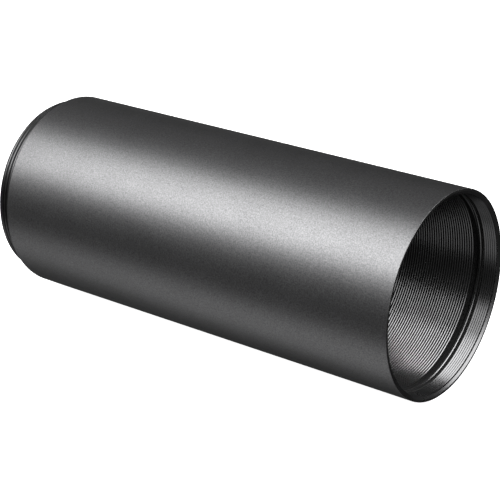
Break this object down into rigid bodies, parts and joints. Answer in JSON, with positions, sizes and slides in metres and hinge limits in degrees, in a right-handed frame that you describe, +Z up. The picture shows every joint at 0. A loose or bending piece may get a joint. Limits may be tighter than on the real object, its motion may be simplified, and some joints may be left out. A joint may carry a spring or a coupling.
{
  "type": "barlow lens",
  "caption": "Straight 1.25 inch Barlow lens tube with an M28.5 filter thread, a fine thread in its mouth, a ribbed black bore and a negative doublet in a screw-in cell.",
  "frame": {"origin": "on the optical axis, in the plane of the tube's telescope-side face", "axes": "+X along the optical axis towards the camera-side mouth, +Z up"},
  "size_m": [0.0758, 0.0318, 0.0318],
  "materials": {
    "gunmetal_anodised": "bead-blasted, dark gunmetal anodised; ribbed black bore",
    "black_anodised": "turned, black anodised, semi-gloss",
    "black_anodised_ring": "turned, black anodised, satin",
    "black_anodised_stop": "turned, black anodised, matt",
    "coated_crown_glass": "polished, antireflection coated",
    "coated_flint_glass": "polished, antireflection coated",
    "black_rubber": "matt",
    "black_nylon": "matt"
  },
  "bodies": {
    "tube": {"main_tube": "gunmetal_anodised", "glare_stop": "black_anodised_stop"},
    "glass": {"crown_element": "coated_crown_glass", "flint_element": "coated_flint_glass", "seat_cushion": "black_rubber"},
    "cell": {"lens_cell": "black_anodised"},
    "washer": {"retainer_washer": "black_nylon"},
    "retainer": {"retaining_ring": "black_anodised_ring"}
  },
  "joints": [
    {"name": "cell_advance", "type": "slide", "parent": "tube", "child": "glass", "axis": [-1, 0, 0], "range_m": [0, 0.003]},
    {"name": "cell_turn", "type": "hinge", "parent": "glass", "child": "cell", "pos_m": [0, 0, 0], "axis": [-1, 0, 0], "range_deg": [0, 2162]},
    {"name": "retainer_advance", "type": "slide", "parent": "cell", "child": "washer", "axis": [1, 0, 0], "range_m": [0, 0.0025]},
    {"name": "retainer_turn", "type": "hinge", "parent": "washer", "child": "retainer", "pos_m": [0, 0, 0], "axis": [1, 0, 0], "range_deg": [0, 1802]}
  ],
  "couplings": [
    {"joint": "cell_turn", "follows": "cell_advance", "rad_per_m": 12566},
    {"joint": "retainer_turn", "follows": "retainer_advance", "rad_per_m": 12566}
  ]
}
